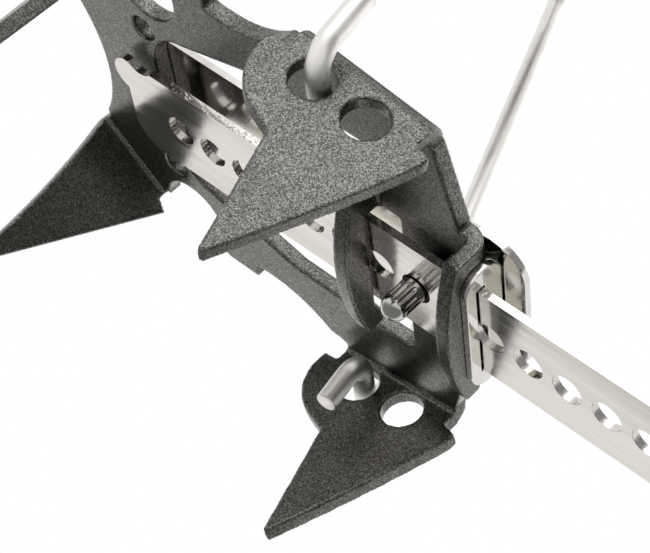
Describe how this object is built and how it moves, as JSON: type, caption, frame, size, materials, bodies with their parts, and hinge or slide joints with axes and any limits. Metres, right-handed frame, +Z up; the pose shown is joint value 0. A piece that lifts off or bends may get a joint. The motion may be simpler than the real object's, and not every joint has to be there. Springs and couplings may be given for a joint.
{
  "type": "semi-automatic crampon",
  "caption": "Steel crampon with pointed heel and toe frames on a perforated length bar, a sprung latch pin, a wire heel bail with a lever and a flexible toe basket.",
  "frame": {"origin": "under the middle of the part's length, on the ground plane at the tips of the points", "axes": "+X to the toe, +Y to the wearer's left, +Z up towards the boot"},
  "size_m": [0.3392, 0.1084, 0.1673],
  "materials": {
    "frame_paint": "dark grey powder paint with a fine metal sparkle",
    "chrome_steel": "polished stainless",
    "spring_steel": "polished spring steel",
    "bar_steel": "polished stainless with light scratches along its length",
    "bail_wire": "satin drawn wire",
    "collar_plastic": "moulded",
    "lever_plastic": "moulded with a fine spark texture",
    "wheel_plastic": "moulded",
    "small_steel": "turned and plated",
    "claw_steel": "tumbled stainless",
    "basket_plastic": "flexible moulded plastic"
  },
  "bodies": {
    "heel": {"heel_frame": "frame_paint", "bar_keeper": "chrome_steel", "latch_spring": "spring_steel", "latch_rivets": "chrome_steel", "linkage_bar": "bar_steel"},
    "latch": {"latch_pin": "chrome_steel", "latch_pin_washer": "chrome_steel"},
    "bail": {"heel_bail": "bail_wire", "bail_collars": "collar_plastic"},
    "lever": {"heel_lever": "lever_plastic"},
    "wheel": {"adjusting_wheel": "wheel_plastic"},
    "claw": {"adjusting_screw": "small_steel", "heel_claw": "claw_steel"},
    "toe": {"toe_frame": "frame_paint", "toe_hinge_pin": "small_steel", "toe_hinge_clip": "small_steel", "basket_rivet_left": "small_steel", "basket_rivet_right": "small_steel", "basket_washers": "small_steel"},
    "basket": {"toe_basket": "basket_plastic"}
  },
  "joints": [
    {"name": "toe_hinge", "type": "hinge", "parent": "heel", "child": "toe", "pos_m": [0.01659, 0, 0.03295], "axis": [0, 1, 0], "range_deg": [-12, 20]},
    {"name": "latch_lift", "type": "slide", "parent": "heel", "child": "latch", "axis": [0, 0, 1], "range_m": [0, 0.0095], "stiffness_N_per_m": 1500, "springref_m": -0.004, "deforming": ["latch_spring"]},
    {"name": "bail_hinge", "type": "hinge", "parent": "heel", "child": "bail", "pos_m": [-0.08544, 0, 0.0335], "axis": [0, 1, 0], "range_deg": [-55, 75]},
    {"name": "lever_hinge", "type": "hinge", "parent": "bail", "child": "lever", "pos_m": [-0.12801, 0, 0.14323], "axis": [0, 1, 0], "range_deg": [-110, 100]},
    {"name": "wheel_turn", "type": "hinge", "parent": "lever", "child": "wheel", "pos_m": [-0.12065, 0, 0.13506], "axis": [0.7431, 0, 0.6691], "range_deg": [0, 1080]},
    {"name": "claw_slide", "type": "slide", "parent": "lever", "child": "claw", "axis": [0.7431, 0, 0.6691], "range_m": [0, 0.0045]},
    {"name": "basket_hinge", "type": "hinge", "parent": "toe", "child": "basket", "pos_m": [0.04659, 0, 0.0335], "axis": [0, 1, 0], "range_deg": [-55, 12]}
  ],
  "couplings": [
    {"joint": "wheel_turn", "follows": "claw_slide", "rad_per_m": 4188.4}
  ]
}
